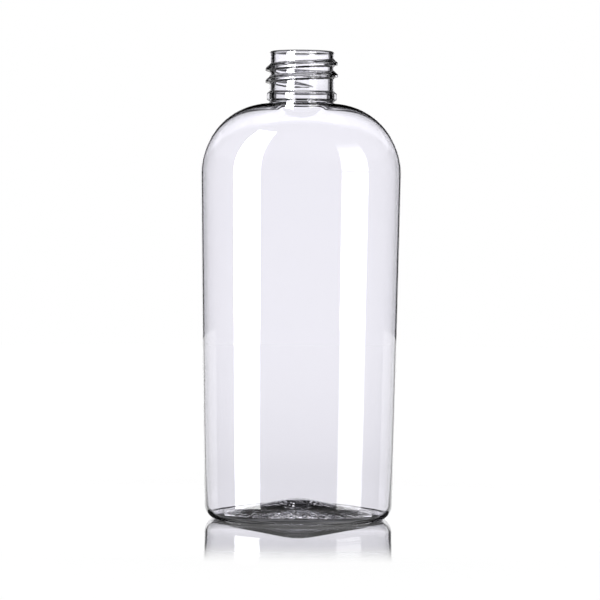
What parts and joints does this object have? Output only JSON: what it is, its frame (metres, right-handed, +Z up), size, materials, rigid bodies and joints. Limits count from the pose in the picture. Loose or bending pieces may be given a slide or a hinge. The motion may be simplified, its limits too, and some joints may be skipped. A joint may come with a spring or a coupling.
{
  "type": "plastic bottle",
  "caption": "Clear oval plastic bottle, empty and uncapped, with rounded shoulders, a push-up base and a small threaded round neck.",
  "frame": {"origin": "middle of the oval ring that the bottle stands on", "axes": "+Z up along the neck's axis, +X across the wide way, -Y out of the broad face seen in the picture"},
  "size_m": [0.0538, 0.033, 0.1257],
  "materials": {
    "clear_plastic": "clear glossy polyester"
  },
  "bodies": {
    "root": {"bottle": "clear_plastic"}
  },
  "joints": []
}
